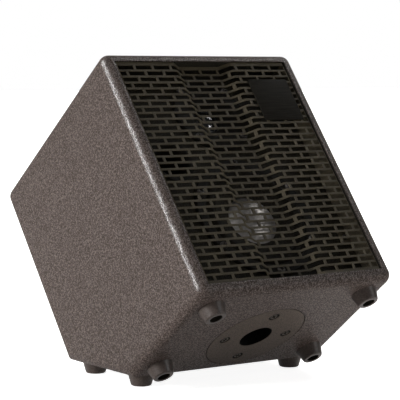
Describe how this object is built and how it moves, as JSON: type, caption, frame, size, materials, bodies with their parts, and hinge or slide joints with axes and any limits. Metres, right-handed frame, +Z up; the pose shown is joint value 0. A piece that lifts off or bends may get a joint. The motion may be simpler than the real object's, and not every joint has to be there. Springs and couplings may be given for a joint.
{
  "type": "stage monitor wedge",
  "caption": "Compact powered stage monitor with a slanted cut rear panel, a slotted channelled steel grille, a pole socket, rubber feet and a strap handle.",
  "frame": {"origin": "middle of the object's bounding box, on the floor that the cut panel's feet stand on", "axes": "+Z up, +X to the viewer's right as the grille is faced, +Y from the front towards the back"},
  "size_m": [0.245, 0.3766, 0.3384],
  "materials": {
    "cabinet_paint": "spatter paint on plywood",
    "baffle_black": "matt black",
    "batten_wood": "raw softwood",
    "grille_paint": "matt powder coat",
    "badge_plate": "satin",
    "socket_paint": "spatter paint",
    "screw_steel": "plated",
    "foot_rubber": "moulded",
    "strap_rubber": "moulded",
    "black_plastic": "fine texture",
    "dust_cap": "gloss",
    "surround_rubber": "satin",
    "cone_paper": "coated paper",
    "spider_cloth": "resin cloth",
    "dome_fabric": "coated silk",
    "copper_wire": "enamelled",
    "motor_steel": "zinc plated",
    "ferrite": "ground",
    "lead_sleeve": "smooth",
    "panel_paint": "powder coat",
    "knob_plastic": "satin",
    "button_plastic": "satin",
    "circuit_board": "solder mask",
    "transformer": "taped winding",
    "lamp_lens": "clear"
  },
  "bodies": {
    "cabinet": {"left_side_panel": "cabinet_paint", "right_side_panel": "cabinet_paint", "top_panel": "cabinet_paint", "bottom_panel": "cabinet_paint", "wedge_panel": "cabinet_paint", "back_panel": "cabinet_paint", "baffle": "baffle_black", "baffle_battens": "batten_wood", "front_grille": "grille_paint", "grille_screws": "screw_steel", "badge_plate": "badge_plate", "pole_socket": "socket_paint", "pole_socket_screws": "screw_steel", "bottom_feet": "foot_rubber", "wedge_feet": "foot_rubber", "foot_screws": "screw_steel", "handle_strap": "strap_rubber", "handle_end_caps": "black_plastic", "handle_screws": "screw_steel", "port_tube": "black_plastic", "woofer_frame": "black_plastic", "woofer_gasket": "surround_rubber", "woofer_screws": "screw_steel", "woofer_surround": "surround_rubber", "woofer_spider": "spider_cloth", "woofer_top_plate": "motor_steel", "woofer_magnet": "ferrite", "woofer_pole_piece": "motor_steel", "woofer_terminals": "black_plastic", "tweeter_face_plate": "black_plastic", "tweeter_screws": "screw_steel", "tweeter_suspension": "dome_fabric", "tweeter_top_plate": "motor_steel", "tweeter_magnet": "ferrite", "tweeter_pole_piece": "motor_steel", "speaker_leads": "lead_sleeve", "amp_panel": "panel_paint", "amp_panel_screws": "screw_steel", "amp_shelf": "motor_steel", "power_amp_board": "circuit_board", "ring_transformer": "transformer", "transformer_bolt": "screw_steel", "preamp_board": "circuit_board", "potentiometers": "motor_steel", "jack_sockets": "black_plastic", "mains_inlet": "black_plastic", "power_switch_frame": "black_plastic", "power_lamp": "lamp_lens"},
    "woofer_cone": {"woofer_cone": "cone_paper", "woofer_dust_cap": "dust_cap", "woofer_voice_coil": "copper_wire"},
    "tweeter_dome": {"tweeter_dome": "dome_fabric", "tweeter_voice_coil": "copper_wire"},
    "channel_1_knob": {"channel_1_knob": "knob_plastic"},
    "channel_2_knob": {"channel_2_knob": "knob_plastic"},
    "bass_knob": {"bass_knob": "knob_plastic"},
    "treble_knob": {"treble_knob": "knob_plastic"},
    "master_knob": {"master_knob": "knob_plastic"},
    "power_rocker": {"power_rocker": "knob_plastic"},
    "mute_button": {"mute_button": "button_plastic"}
  },
  "joints": [
    {"name": "woofer_travel", "type": "slide", "parent": "cabinet", "child": "woofer_cone", "axis": [0, -0.788, 0.6157], "range_m": [-0.004, 0.004], "stiffness_N_per_m": 1000, "deforming": ["woofer_surround", "woofer_spider"]},
    {"name": "tweeter_travel", "type": "slide", "parent": "cabinet", "child": "tweeter_dome", "axis": [0, -0.788, 0.6157], "range_m": [-0.0003, 0.0003], "stiffness_N_per_m": 300, "deforming": ["tweeter_suspension"]},
    {"name": "channel_1_turn", "type": "hinge", "parent": "cabinet", "child": "channel_1_knob", "pos_m": [0.064, 0.15499, 0.13516], "axis": [0, 0.788, -0.6157], "range_deg": [-150, 150]},
    {"name": "channel_2_turn", "type": "hinge", "parent": "cabinet", "child": "channel_2_knob", "pos_m": [0.032, 0.15499, 0.13516], "axis": [0, 0.788, -0.6157], "range_deg": [-150, 150]},
    {"name": "bass_turn", "type": "hinge", "parent": "cabinet", "child": "bass_knob", "pos_m": [0, 0.15499, 0.13516], "axis": [0, 0.788, -0.6157], "range_deg": [-150, 150]},
    {"name": "treble_turn", "type": "hinge", "parent": "cabinet", "child": "treble_knob", "pos_m": [-0.032, 0.15499, 0.13516], "axis": [0, 0.788, -0.6157], "range_deg": [-150, 150]},
    {"name": "master_turn", "type": "hinge", "parent": "cabinet", "child": "master_knob", "pos_m": [-0.064, 0.15499, 0.13516], "axis": [0, 0.788, -0.6157], "range_deg": [-150, 150]},
    {"name": "power_rock", "type": "hinge", "parent": "cabinet", "child": "power_rocker", "pos_m": [0.004, 0.1002, 0.06502], "axis": [1, 0, 0], "range_deg": [0, 16]},
    {"name": "mute_press", "type": "slide", "parent": "cabinet", "child": "mute_button", "axis": [0, -0.788, 0.6157], "range_m": [0, 0.0025], "stiffness_N_per_m": 400, "springref_m": -0.002}
  ]
}
